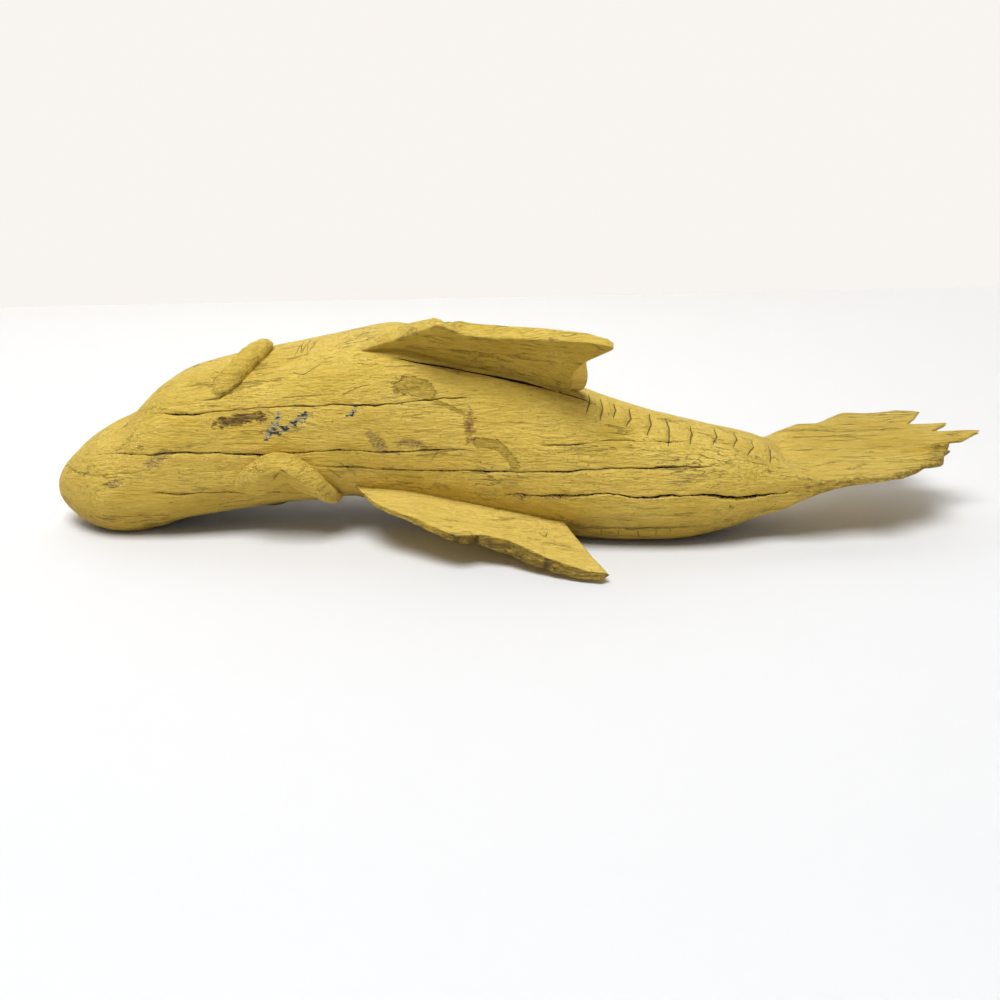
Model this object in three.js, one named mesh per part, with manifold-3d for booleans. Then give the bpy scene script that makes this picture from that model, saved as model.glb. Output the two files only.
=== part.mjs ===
// Carved wooden fish, lying on its left side with its back to the viewer.
// Head to -X, tail to +X, table under it at z = 0. All sizes in millimetres.
import * as THREE from 'three';
import Module from 'manifold-3d';

const wasm = await Module();
wasm.setup();

// Overall sizes of the carving
const LENGTH = 576; // tip of the snout to the longest tail splinter
const GIRTH = 94; // height of the log at the shoulder
const NOSE = 40; // length over which the snout rounds off
const ROUNDNESS = 2.3; // 2 is a plain oval section, larger is fuller

// Fin boards and the housings they stand in
const FIN_THICK = 10;
const FIN_SPAN = 56; // outside the body, at the rear tip
const FIN_EDGE = 1.2; // rounding of the fin edges
const FIN_DISH = 2.2; // hollow carved in the inner face
const TONGUE = 10; // depth of board let into the body
const ROOT_HALF = 58; // half length of the tongue
const SAW_RUN = 12; // housing sawn past the rear of the right fin
const KERF = 2; // width of that saw cut
const FIT = 0.3; // clearance left round every joint

// Dowels through the fin roots, pegs under the brows
const DOWEL_D = 6;
const DOWEL_LENGTH = 30;
const DOWEL_GRIP = 13; // part of the dowel that stands in the fin
const DOWEL_FRONT = -28;
const DOWEL_REAR = 34;
const PEG_D = 5;
const PEG_LENGTH = 15;

// Raised brows on both sides of the head
const BROW_LENGTH = 52;
const BROW_WIDTH = 19;
const BROW_RISE = 8; // crest above its shoulders
const BROW_WALL = 3; // upright sides of the foot above the seat plane
const BROW_SEAT = 5; // depth of the pocket below the seat plane

const PAINT = 0xc9a84d;
const RAW = 0xb08a55;

const KX = LENGTH / 576;
const KG = GIRTH / 94;
const at = (x, y, z) => new THREE.Vector3(x * KX, y * KG, z * KG);

// Smooth line through drawn points [x, value]
function outline(points) {
  const xs = points.map((p) => p[0]);
  const ys = points.map((p) => p[1]);
  const line = new THREE.CubicInterpolant(xs, ys, 1, [0]);
  return (x) => line.evaluate(THREE.MathUtils.clamp(x, xs[0], xs[xs.length - 1]))[0];
}

// Lines of the log: seen from the side (top, under) and from above (back, belly)
const TIP = -284;
const TAIL_END = 302;
const top = outline([[-284, 46], [-266, 54], [-254, 59.3], [-240, 65.3], [-233, 68.8], [-228, 73.5],
  [-222, 80], [-216, 85], [-204, 92.5], [-188, 98], [-165, 103], [-135, 108.5], [-105, 115],
  [-90, 117], [-75, 116], [-60, 112], [-45, 109], [-15, 102], [15, 93], [40, 85], [75, 75],
  [110, 66], [138, 58], [150, 52.5], [156, 47.5], [159, 43.5], [162, 41], [181, 43], [194, 45],
  [217, 46], [250, 47.5], [302, 50]]);
const under = outline([[-284, 0], [-266, -2], [-245, -4], [-226, -3.5], [-217, 0], [-208, 5],
  [-190, 9], [-165, 12.5], [-135, 16.5], [-105, 17.5], [-75, 12], [-45, 8], [-15, 4], [15, 0],
  [40, -3], [75, -3], [100, -1], [123, 4], [140, 9], [156, 14.5], [166, 20], [178, 26], [190, 30],
  [205, 34], [222, 38], [260, 42], [302, 44]]);
const back = outline([[-284, -14], [-266, -20], [-245, -25], [-222, -27], [-190, -26], [-150, -24],
  [-110, -27], [-70, -31], [-15, -36], [35, -42], [75, -43], [100, -42], [123, -38], [140, -32],
  [150, -29.5], [160, -30], [175, -48], [230, -75], [302, -75]]);
const belly = outline([[-284, 32], [-266, 38], [-245, 48], [-222, 58], [-190, 67], [-150, 71],
  [-110, 70], [-70, 65], [-15, 53], [35, 42], [75, 35], [100, 33], [123, 34], [148, 37],
  [156, 43], [161, 46], [175, 75], [230, 110], [302, 115]]);

// Tail fan seen from above: near edge, broken end with its splinters, far edge
const FAN = [[160, -29.5], [181, -29], [194, -26], [217, -26], [226, -23], [233, -17], [255, -6],
  [264, 12], [268, 18], [292, 32], [286, 34], [264, 38], [278, 48.5], [253, 51], [268, 70],
  [253, 75], [231, 72.5], [217, 75], [212, 72], [199, 59], [192, 52.5], [177, 48.5], [160, 45]];
const FAN_ROLL = 0.07; // rise per millimetre towards the far edge
const fanShare = outline([[150, 0], [162, 0.6], [175, 1], [302, 1]]);

// Drying checks along the grain: station, angle round the section (0 faces the viewer)
const CHECKS = [
  [[-225, 1.04], [-190, 0.59], [-120, 0.43], [-68, 0.51], [-21, 0.78]],
  [[-249, 0.87], [-222, 0.38], [-196, 0.11], [-137, -0.05], [-54, 0], [-23, 0.14]],
  [[-225, -0.07], [-182, -0.41], [-158, -0.46]],
  [[-118, -0.25], [-54, -0.18], [0, 0], [57, 0.35], [138, 0.81]],
  [[-11, -0.3], [39, -0.08], [95, 0.06], [146, -0.15]],
];
const CHECK_WIDTH = 1.3;
const CHECK_DEPTH = 4;

// Chisel notches across the two edges of the back, behind the fins
const NOTCHES = [
  { count: 10, first: 43, last: 128, from: 1.72, to: 1.15 },
  { count: 6, first: 46, last: 88, from: -0.5, to: -0.78 },
];
const NOTCH_WIDTH = 2.2;
const NOTCH_DEPTH = 1.4;

// Geometry and solid helpers
function solid(geometry) {
  const g = geometry.index ? geometry : weld(geometry);
  const vertProperties = Float32Array.from(g.attributes.position.array);
  const triVerts = Uint32Array.from(g.index.array);
  const mesh = new wasm.Mesh({ numProp: 3, vertProperties, triVerts });
  mesh.merge();
  return new wasm.Manifold(mesh);
}

function weld(geometry) {
  const index = [...Array(geometry.attributes.position.count).keys()];
  const g = new THREE.BufferGeometry();
  g.setAttribute('position', geometry.attributes.position);
  g.setIndex(index);
  return g;
}

function toGeometry(body) {
  const m = body.getMesh();
  const g = new THREE.BufferGeometry();
  const n = m.numProp;
  const points = new Float32Array((m.vertProperties.length / n) * 3);
  for (let i = 0; i < points.length / 3; i++) {
    for (let k = 0; k < 3; k++) points[3 * i + k] = m.vertProperties[n * i + k];
  }
  g.setAttribute('position', new THREE.BufferAttribute(points, 3));
  g.setIndex(new THREE.BufferAttribute(m.triVerts, 1));
  return g;
}

// Closed skin over rings of points, each end drawn in to its middle
function skin(rings) {
  const n = rings[0].length;
  const points = rings.flat();
  const index = [];
  for (let r = 0; r + 1 < rings.length; r++) {
    for (let i = 0; i < n; i++) {
      const a = r * n + i;
      const b = r * n + ((i + 1) % n);
      index.push(a, b, a + n, b, b + n, a + n);
    }
  }
  for (const r of [0, rings.length - 1]) {
    const middle = new THREE.Vector3();
    rings[r].forEach((p) => middle.addScaledVector(p, 1 / n));
    points.push(middle);
    for (let i = 0; i < n; i++) {
      const a = r * n + i;
      const b = r * n + ((i + 1) % n);
      if (r === 0) index.push(points.length - 1, b, a);
      else index.push(points.length - 1, a, b);
    }
  }
  const g = new THREE.BufferGeometry().setFromPoints(points);
  g.setIndex(index);
  return g;
}

function extrude(points, depth, edge = 0) {
  const shape = new THREE.Shape(points.map((p) => new THREE.Vector2(p[0], p[1])));
  const g = new THREE.ExtrudeGeometry(shape, {
    depth: depth - 2 * edge, bevelEnabled: edge > 0, bevelThickness: edge, bevelSize: edge,
    bevelOffset: -edge, bevelSegments: 3, curveSegments: 8,
  });
  g.translate(0, 0, edge);
  return g;
}

function pin(diameter, length) {
  const g = new THREE.CylinderGeometry(diameter / 2, diameter / 2, length, 24);
  return g;
}

// The log: one length of wood from snout to tail
function logPoint(x, angle) {
  const d = Math.min(1, (x - TIP) / NOSE);
  const round = Math.sqrt(Math.max(1 - (1 - d) ** 2, 0.0004));
  const s = Math.sin(angle);
  const c = Math.cos(angle);
  const power = 2 / ROUNDNESS;
  const z = (top(x) + under(x)) / 2
    + (top(x) - under(x)) / 2 * round * Math.sign(s) * Math.abs(s) ** power;
  const middle = (back(x) + belly(x)) / 2;
  const across = (belly(x) - back(x)) / 2 * round * Math.sign(c) * Math.abs(c) ** power;
  const roll = FAN_ROLL * fanShare(x) * across;
  return at(x, middle - across, z - roll);
}

function logStations() {
  const xs = [];
  for (let i = 0; i <= 8; i++) xs.push(TIP + NOSE * (1 - Math.cos((i / 8) * Math.PI / 2)));
  for (let x = TIP + NOSE + 5; x < -200; x += 5) xs.push(x);
  for (let x = -200; x < 145; x += 12) xs.push(x);
  for (let x = 145; x < 168; x += 3) xs.push(x);
  for (let x = 170; x < TAIL_END; x += 12) xs.push(x);
  xs.push(TAIL_END);
  return xs;
}

function carvedLog() {
  const around = 48;
  const rings = logStations().map((x) => {
    const ring = [];
    for (let i = 0; i < around; i++) ring.push(logPoint(x, -(i / around) * 2 * Math.PI));
    return ring;
  });
  const log = solid(skin(rings));
  const sawLine = FAN[0][0];
  const plan = [[-400, -200], [sawLine, -200], ...FAN, [sawLine, 200], [-400, 200]];
  const keep = extrude(plan.map((p) => [p[0] * KX, p[1] * KG]), 400);
  return log.intersect(solid(keep));
}

// V-shaped cut along points [station, angle] on the skin of the log
function groove(line, width, depth) {
  const lift = 2;
  const points = line.map((p) => logPoint(p[0], p[1]));
  const last = line.length - 1;
  const rings = line.map(([x, angle], i) => {
    const along = points[Math.min(i + 1, last)].clone().sub(points[Math.max(i - 1, 0)]).normalize();
    const round = logPoint(x, angle + 0.03).sub(logPoint(x, angle - 0.03));
    const lengthwise = logPoint(x + 2, angle).sub(logPoint(x - 2, angle));
    const out = new THREE.Vector3().crossVectors(lengthwise, round).normalize();
    if (out.dot(points[i].clone().sub(logPoint(x, angle + Math.PI))) < 0) out.negate();
    const across = new THREE.Vector3().crossVectors(along, out).normalize();
    const share = 0.2 + 0.8 * Math.min(1, i / 2, (last - i) / 2);
    const half = (width / 2) * share * (1 + lift / depth);
    const rim = points[i].clone().addScaledVector(out, lift);
    return [rim.clone().addScaledVector(across, half),
      points[i].clone().addScaledVector(out, -depth * share),
      rim.clone().addScaledVector(across, -half)];
  });
  return skin(rings);
}

// A check wanders a little from side to side as it follows the grain
function checkLine(points) {
  const angle = outline(points);
  const line = [];
  const end = points[points.length - 1][0];
  for (let x = points[0][0]; x <= end; x += 10) line.push([x, angle(x) + 0.012 * (line.length % 2)]);
  return line;
}

function notchLine(row, i) {
  const x = row.first + (row.last - row.first) * i / (row.count - 1);
  return [0, 1, 2, 3, 4].map((k) => [x + 0.8 * k, row.from + (row.to - row.from) * k / 4]);
}

// Frame of a fin: chord along its root, span outward, face across the board
function finFrame(front, rear, lift) {
  const chord = rear.clone().sub(front).normalize();
  const span = new THREE.Vector3(0, -Math.cos(lift), Math.sin(lift));
  span.addScaledVector(chord, -span.dot(chord)).normalize();
  const face = new THREE.Vector3().crossVectors(chord, span);
  const middle = front.clone().lerp(rear, 0.5);
  return new THREE.Matrix4().makeBasis(chord, span, face).setPosition(middle);
}

// Fin blades in their own plane: chord, then share of the span
const rightBlade = [[60, 0.01], [58.5, 0.25], [61.5, 0.51], [68, 0.74], [73, 1], [59, 0.965],
  [44, 0.91], [24, 0.8], [8, 0.7], [-6, 0.66], [-14, 0.7], [-19, 0.75], [-30, 0.56], [-41, 0.36],
  [-58, 0.1], [-72, -0.02], [-80, -0.1]];
const leftBlade = [[56, 0.03], [85, 0.76], [81, 0.82], [66, 0.79], [48, 0.71], [27, 0.56],
  [11, 0.56], [5, 0.62], [-2, 0.67], [-10, 0.64], [-43, 0.41], [-60, 0.23], [-74, 0.02], [-80, -0.1]];

// Planes that thin the outer face: chord, span and board thickness left at three points
const rightShaves = [[[-75, 0, 11], [-19, 42, 4], [-24, 8, 13]],
  [[16, 46, FIN_THICK], [75, 54, 1.5], [62, 8, FIN_THICK]]];
const leftShaves = [[[-66, 3, 2], [2, 37, 2.5], [-24, 4, FIN_THICK]],
  [[24, 44, FIN_THICK], [84, 46, 1.5], [60, 4, FIN_THICK]]];

function finOutline(blade) {
  const drawn = blade.map((p) => [p[0], p[1] * FIN_SPAN]);
  return [[-ROOT_HALF, -TONGUE], [ROOT_HALF - 4, -TONGUE], ...drawn];
}

// inner is the side of the board that looks at the middle of the back
const fins = [
  { name: 'right_fin', blade: rightBlade, shaves: rightShaves, inner: 1, run: SAW_RUN,
    frame: finFrame(at(-88, -7.5, 112), at(28, -13.5, 87.5), 50 * Math.PI / 180) },
  { name: 'left_fin', blade: leftBlade, shaves: leftShaves, inner: -1, run: 0,
    frame: finFrame(at(-88, -22.5, 38), at(30, -34.5, 16.5), -9 * Math.PI / 180) },
];

// Boards lie from their inner face outward, so the face offset depends on the side
const faceStart = (fin, extra) => (fin.inner > 0 ? -FIN_THICK - extra : -extra);

// The board itself, or with some growth the room it needs in the log
function finBoard(fin, grow) {
  const edge = grow > 0 ? 0 : FIN_EDGE;
  const board = extrude(grown(finOutline(fin.blade), grow), FIN_THICK + 2 * grow, edge);
  board.translate(0, 0, faceStart(fin, grow));
  let body = solid(board);
  for (const plane of fin.shaves) body = body.subtract(solid(shaving(plane, fin, grow)));
  return body;
}

// Shallow hollow carved in the inner face
function dish(fin) {
  const depth = 30;
  const g = new THREE.SphereGeometry(1, 32, 16);
  g.scale(62, 0.42 * FIN_SPAN, depth);
  g.translate(18, 0.52 * FIN_SPAN, fin.inner * (depth - FIN_DISH));
  return g;
}

// Everything on the outer side of a plane through three points of the board
function shaving(plane, fin, grow) {
  const [a, b, c] = plane.map((p) => new THREE.Vector3(p[0], p[1], -fin.inner * (p[2] + grow)));
  const along = b.clone().sub(a).normalize();
  const out = new THREE.Vector3().crossVectors(along, c.clone().sub(a)).normalize();
  if (out.z * fin.inner > 0) out.negate();
  const side = new THREE.Vector3().crossVectors(out, along);
  const waste = new THREE.BoxGeometry(400, 400, 80);
  waste.translate(0, 0, 40);
  return waste.applyMatrix4(new THREE.Matrix4().makeBasis(along, side, out).setPosition(a));
}

// Outline moved outward by a clearance
function grown(points, by) {
  return points.map((p, i) => {
    const before = points[(i + points.length - 1) % points.length];
    const after = points[(i + 1) % points.length];
    const n1 = new THREE.Vector2(p[1] - before[1], before[0] - p[0]).normalize();
    const n2 = new THREE.Vector2(after[1] - p[1], p[0] - after[0]).normalize();
    const reach = by / (1 + n1.dot(n2));
    return [p[0] + (n1.x + n2.x) * reach, p[1] + (n1.y + n2.y) * reach];
  });
}

// Saw kerf that overran the rear end of the housing, along the inner face
function kerf(fin) {
  const run = [[ROOT_HALF - 12, -0.6 * TONGUE], [ROOT_HALF, -0.6 * TONGUE],
    [ROOT_HALF + fin.run, 0], [ROOT_HALF + fin.run + 2, 16], [ROOT_HALF - 12, 16]];
  const cut = extrude(run, KERF);
  cut.translate(0, 0, fin.inner > 0 ? FIT - KERF : -FIT);
  return cut;
}

// Dowels stand along the span, on the middle of the board
function dowel(fin, chord, grow) {
  const g = pin(DOWEL_D + 2 * grow, DOWEL_LENGTH + 2 * grow);
  g.translate(chord, -TONGUE + DOWEL_GRIP - DOWEL_LENGTH / 2, -fin.inner * FIN_THICK / 2);
  return g;
}

// Brows: teardrop seats with a crest that rises to a rounded free tip
function browFrame(front, tip, out) {
  const along = tip.clone().sub(front).normalize();
  const up = out.clone().addScaledVector(along, -out.dot(along)).normalize();
  const across = new THREE.Vector3().crossVectors(up, along);
  return new THREE.Matrix4().makeBasis(along, across, up).setPosition(front);
}

const brows = [
  { name: 'right_brow', frame: browFrame(at(-176, -14, 84), at(-150, 12, 103),
    new THREE.Vector3(0, -0.54, 0.84)) },
  { name: 'left_brow', frame: browFrame(at(-150, -20.5, 57), at(-111, -14, 28),
    new THREE.Vector3(0, -0.9, -0.42)) },
];

function browHalfWidth(share, grow) {
  const swell = Math.sqrt(Math.max(1 - Math.abs(2 * share - 1) ** 3, 0));
  return (BROW_WIDTH / 2) * swell * (0.72 + 0.28 * share) + grow;
}

function browCrest(share) {
  const rise = 0.25 + 0.75 * Math.sin(Math.min(share / 0.78, 1) * Math.PI / 2);
  const fall = share > 0.78 ? Math.sqrt(1 - ((share - 0.78) / 0.24) ** 2) : 1;
  return BROW_RISE * rise * fall;
}

function browSkin() {
  const rings = [];
  const steps = 14;
  for (let i = 0; i <= steps; i++) {
    const share = 0.5 - 0.5 * Math.cos((i / steps) * Math.PI);
    const half = Math.max(browHalfWidth(share, 0), 1.2);
    const crest = browCrest(share);
    const x = share * BROW_LENGTH;
    const ring = [new THREE.Vector3(x, -half, -BROW_SEAT), new THREE.Vector3(x, half, -BROW_SEAT)];
    for (let k = 0; k <= 8; k++) {
      const a = (k / 8) * Math.PI;
      ring.push(new THREE.Vector3(x, half * Math.cos(a), BROW_WALL + crest * Math.sin(a) ** 0.8));
    }
    rings.push(ring);
  }
  return skin(rings);
}

function browPocket() {
  const side = [];
  for (let i = 0; i <= 14; i++) {
    const share = 0.5 - 0.5 * Math.cos((i / 14) * Math.PI);
    const half = Math.max(browHalfWidth(share, FIT), 1.2 + FIT);
    side.push([-FIT + share * (BROW_LENGTH + 2 * FIT), half]);
  }
  const plan = [...side.map((p) => [p[0], -p[1]]), ...side.reverse()];
  const cut = extrude(plan, BROW_SEAT + FIT + 3 * BROW_RISE);
  cut.translate(0, 0, -BROW_SEAT - FIT);
  return cut;
}

function peg(grow) {
  const g = pin(PEG_D + 2 * grow, PEG_LENGTH + 2 * grow);
  g.rotateX(Math.PI / 2);
  g.translate(0.5 * BROW_LENGTH, 0, -BROW_SEAT);
  return g;
}

// Put everything together
const pieces = [];
let log = carvedLog();
const cutLog = (geometry, frame) => {
  log = log.subtract(solid(geometry.applyMatrix4(frame)));
};

for (const fin of fins) {
  let board = finBoard(fin, 0).subtract(solid(dish(fin)));
  cutLog(toGeometry(finBoard(fin, FIT)), fin.frame);
  if (fin.run > 0) cutLog(kerf(fin), fin.frame);
  for (const [place, chord] of [['front', DOWEL_FRONT], ['rear', DOWEL_REAR]]) {
    board = board.subtract(solid(dowel(fin, chord, FIT)));
    cutLog(dowel(fin, chord, FIT), fin.frame);
    const rod = dowel(fin, chord, 0).applyMatrix4(fin.frame);
    pieces.push({ name: `${fin.name}_${place}_dowel`, geometry: toGeometry(solid(rod)), color: RAW });
  }
  const geometry = toGeometry(board).applyMatrix4(fin.frame);
  pieces.push({ name: fin.name, geometry, color: PAINT });
}

for (const brow of brows) {
  cutLog(browPocket(), brow.frame);
  cutLog(peg(FIT), brow.frame);
  const crest = solid(browSkin()).subtract(solid(peg(FIT)));
  pieces.push({ name: brow.name, geometry: toGeometry(crest).applyMatrix4(brow.frame), color: PAINT });
  const rod = toGeometry(solid(peg(0))).applyMatrix4(brow.frame);
  pieces.push({ name: `${brow.name}_peg`, geometry: rod, color: RAW });
}

const whole = new THREE.Matrix4();
for (const points of CHECKS) cutLog(groove(checkLine(points), CHECK_WIDTH, CHECK_DEPTH), whole);
for (const row of NOTCHES) {
  for (let i = 0; i < row.count; i++) cutLog(groove(notchLine(row, i), NOTCH_WIDTH, NOTCH_DEPTH), whole);
}

// Two flats let it lie still on the table
const table = new THREE.BoxGeometry(800, 400, 60);
table.translate(0, 0, -30);
log = log.subtract(solid(table));
pieces.unshift({ name: 'body', geometry: toGeometry(log), color: PAINT });

const fish = new THREE.Group();
fish.name = 'wooden_fish';
const box = new THREE.Box3();
for (const piece of pieces) {
  piece.geometry.computeBoundingBox();
  box.union(piece.geometry.boundingBox);
}
const centre = box.getCenter(new THREE.Vector3());
for (const { name, geometry, color } of pieces) {
  geometry.translate(-centre.x, -centre.y, 0);
  geometry.computeVertexNormals();
  const bare = color === RAW;
  const material = new THREE.MeshStandardMaterial({
    color, roughness: bare ? 0.85 : 0.7, metalness: 0,
  });
  const mesh = new THREE.Mesh(geometry, material);
  mesh.name = name;
  fish.add(mesh);
}

export default fish;
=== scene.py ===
from math import pi, radians

import bpy
import numpy as np
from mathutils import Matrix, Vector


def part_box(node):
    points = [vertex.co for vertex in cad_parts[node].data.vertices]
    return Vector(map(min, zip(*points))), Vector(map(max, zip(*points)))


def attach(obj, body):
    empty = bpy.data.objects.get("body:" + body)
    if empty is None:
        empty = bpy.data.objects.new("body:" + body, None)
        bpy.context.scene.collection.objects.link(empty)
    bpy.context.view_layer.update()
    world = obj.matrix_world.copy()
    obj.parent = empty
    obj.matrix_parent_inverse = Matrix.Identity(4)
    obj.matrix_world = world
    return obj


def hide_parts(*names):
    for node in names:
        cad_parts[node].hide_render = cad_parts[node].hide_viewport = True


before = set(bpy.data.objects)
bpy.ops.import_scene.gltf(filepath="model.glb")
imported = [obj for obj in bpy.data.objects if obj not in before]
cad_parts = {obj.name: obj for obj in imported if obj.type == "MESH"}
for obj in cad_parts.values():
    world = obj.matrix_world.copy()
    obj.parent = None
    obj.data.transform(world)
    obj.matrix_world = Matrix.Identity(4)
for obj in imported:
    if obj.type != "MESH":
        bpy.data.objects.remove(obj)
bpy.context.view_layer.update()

# The log: one length of soft wood, carved from the snout to the thin tail fan and painted mustard.
# It has split along the grain as it dried, the paint has flaked in places, and the end of the fan
# is broken off in splinters. The fins and brows are let into it.
MM = 0.001
SNOUT_TIP, FAR_SPLINTER = -284.0, 75.0
low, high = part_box("body")
# All lines are drawn in millimetres; DRAWING carries the drawing's origin to the frame's
DRAWING = np.array([low.x / MM - SNOUT_TIP, high.y / MM - FAR_SPLINTER, 0.0])
SHARP_EDGE = radians(48)


def line(points):
    """A smooth line through drawn points. Each piece is a cubic, and the slope at a point is the mean
    of the slopes of the two chords that meet there."""
    at, value = np.array(points, float).T
    chord = np.diff(value) / np.diff(at)
    slope = np.concatenate([chord[:1], (chord[1:] + chord[:-1]) / 2, chord[-1:]])

    def drawn(x):
        x = np.clip(x, at[0], at[-1])
        i = np.clip(np.searchsorted(at, x, side="right") - 1, 0, len(at) - 2)
        run = at[i + 1] - at[i]
        t = (x - at[i]) / run
        return (value[i] * (1 + 2 * t) * (1 - t) ** 2 + slope[i] * run * t * (1 - t) ** 2
                + value[i + 1] * t * t * (3 - 2 * t) - slope[i + 1] * run * t * t * (1 - t))
    return drawn


def smooth(a, b, x):
    """Rises from 0 at a to 1 at b along a cubic that is level at both ends."""
    t = np.clip((x - a) / (b - a), 0, 1)
    return t * t * (3 - 2 * t)


def ripple(p, seed):
    """Carved unevenness from -1 to 1: seeded random numbers on a cubic lattice, blended smoothly
    between the eight corners around each point."""
    size = 32
    lattice = np.random.default_rng(seed).uniform(-1, 1, (size, size, size))
    cell = np.floor(p).astype(int)
    t = p - cell
    t = t * t * (3 - 2 * t)
    total = 0.0
    for corner in np.ndindex(2, 2, 2):
        i = (cell + corner) % size
        share = np.where(corner, t, 1 - t).prod(-1)
        total = total + share * lattice[i[..., 0], i[..., 1], i[..., 2]]
    return total


def oval(angle, fullness):
    """A round-cornered section of half size 1: the circle pushed out along each ray until
    |across|^fullness + |up|^fullness = 1. Angle 0 faces the viewer, a quarter turn faces up."""
    c, s = np.cos(angle), np.sin(angle)
    reach = (np.abs(c) ** fullness + np.abs(s) ** fullness) ** (-1 / fullness)
    return -reach * c, reach * s


def outward(grid):
    """Unit normals of a closed ring grid: the cross product of its steps along and around."""
    around = np.roll(grid, -1, 1) - np.roll(grid, 1, 1)
    normal = np.cross(around, np.gradient(grid, axis=0))
    normal /= np.maximum(np.linalg.norm(normal, axis=-1, keepdims=True), 1e-9)
    middle = grid.mean(1, keepdims=True)
    return normal * np.sign((normal * (grid - middle)).sum(-1).mean())


def end_cap(points, ring):
    """Fills an end ring: its two sides between the extreme points of its longest direction are joined
    by triangles, each edge to the nearest point of the other side."""
    spread = points[ring] - points[ring].mean(0)
    key = spread @ np.linalg.svd(spread, full_matrices=False)[2][0]
    loop = np.roll(np.arange(len(ring)), -int(key.argmin()))
    turn_at = int(key[loop].argmax())
    one, two = loop[:turn_at + 1], np.concatenate([loop[:1], loop[:turn_at - 1:-1]])
    key_one, key_two = (np.maximum.accumulate(key[side]) for side in (one, two))
    facing = np.searchsorted(key_two, (key_one[:-1] + key_one[1:]) / 2).clip(0, len(two) - 1)
    step = np.searchsorted(facing, np.arange(1, len(two)))
    fill = np.concatenate([np.stack([one[1:], one[:-1], two[facing]], -1),
                           np.stack([two[:-1], two[1:], one[step]], -1)])
    proper = (fill[:, 0] != fill[:, 2]) & (fill[:, 1] != fill[:, 2])
    return np.asarray(ring)[fill[proper]]


def skin(name, grid, marks):
    """Closes a grid of rings (millimetres in the drawing) into a piece. Rings are joined by quads, the
    two end rings are filled, and each mark becomes a number on every point for the paint to read."""
    rows, cols = grid.shape[:2]
    points = ((grid + DRAWING) * MM).reshape(-1, 3)
    a = np.arange(rows * cols).reshape(rows, cols)
    b = np.roll(a, -1, 1)
    quads = np.stack([a[:-1], b[:-1], b[1:], a[1:]], -1).reshape(-1, 4)
    corner = points[quads] - points.mean(0)
    volume = np.einsum("ij,ij->", corner[:, 0], np.cross(corner[:, 1], corner[:, 2]))
    first, last = end_cap(points, a[0]), end_cap(points, a[-1])[:, ::-1]
    faces = quads.tolist() + first.tolist() + last.tolist()
    if volume < 0:
        faces = [face[::-1] for face in faces]
    mesh = bpy.data.meshes.new(name)
    mesh.from_pydata(points, [], faces)
    mesh.shade_smooth()
    mesh.set_sharp_from_angle(angle=SHARP_EDGE)
    for mark, values in marks.items():
        layer = mesh.attributes.new(mark, "FLOAT", "POINT")
        layer.data.foreach_set("value", np.ascontiguousarray(values.ravel(), np.float32))
    piece = bpy.data.objects.new(name, mesh)
    bpy.context.scene.collection.objects.link(piece)
    return piece


# Lines of the log from the side (top, under) and from above (back, belly), then of the fan
top = line([(-284, 46), (-266, 54), (-254, 59.3), (-240, 65.3), (-233, 68.8), (-228, 73.5), (-222, 80),
            (-216, 85), (-204, 92.5), (-188, 98), (-165, 103), (-135, 108.6), (-105, 115.6),
            (-90, 119.2), (-75, 121.5), (-60, 119.5), (-45, 113), (-15, 106), (15, 96.5), (40, 86.5),
            (75, 75), (110, 66), (138, 58), (150, 53), (156, 48.5), (159, 45.5), (162, 43.5), (170, 43.5),
            (181, 44), (194, 45), (217, 46), (250, 47.5), (270, 49), (302, 53)])
side_top = line([(110, 66), (138, 58), (150, 52.5), (162, 47.5), (175, 44.5), (194, 45), (217, 46),
                 (250, 47.5), (270, 49), (302, 53)])
under = line([(-284, 0), (-266, -2), (-245, -4), (-226, -3.5), (-217, 0), (-208, 5), (-190, 9),
              (-165, 12.5), (-135, 16.5), (-105, 17.5), (-75, 12), (-45, 8), (-15, 4), (15, 0), (40, -3),
              (75, -3), (100, -1), (123, 4), (140, 9), (156, 18), (166, 25), (178, 30.5), (190, 33.5),
              (205, 36.5), (222, 40.5), (260, 45), (302, 50)])
back = line([(-284, -14), (-266, -20), (-245, -25), (-222, -27), (-190, -26), (-150, -24),
             (-110, -27), (-70, -31), (-15, -36), (35, -42), (75, -43), (100, -42), (123, -38),
             (140, -32), (150, -29.5), (165, -30)])
belly = line([(-284, 32), (-266, 38), (-245, 48), (-222, 58), (-190, 67), (-150, 71), (-110, 70),
              (-70, 65), (-15, 53), (35, 42), (75, 35), (100, 33), (123, 34), (148, 37), (160, 40)])
FAN_START, FAN_NEAR, FAN_FAR = 150.0, 226.0, 253.0  # stations of its start and of its two corners
FAN_ROLL = 3.5  # how much its near edge hangs lower and its far edge stands higher
fan_near = line([(150, float(back(150.0))), (165, -30), (181, -29), (194, -26), (217, -26), (226, -23)])
fan_far = line([(150, float(belly(150.0))), (156, 43), (163, 46), (170, 47), (177, 48.5), (192, 52.5),
                (199, 59), (212, 72), (217, 75), (224, 74), (231, 72.5), (242, 73), (253, 75)])
FAN_END = np.array([(-23, 226), (-21, 226.5), (-17, 233), (-12, 246), (-6, 255), (-3, 256), (3, 259),
                    (8, 265), (12, 264), (18, 268), (23, 278), (28, 287), (32, 292), (34, 287),
                    (36, 273), (38, 264), (42, 269), (46, 275), (48.5, 278), (50, 266), (51, 253),
                    (55, 256), (60, 261), (66, 265), (70, 268), (72.5, 264), (75, 253)], float)
NOSE = 40.0  # length of the rounded end of the snout
FAN_SQUARENESS = 12.0

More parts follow.
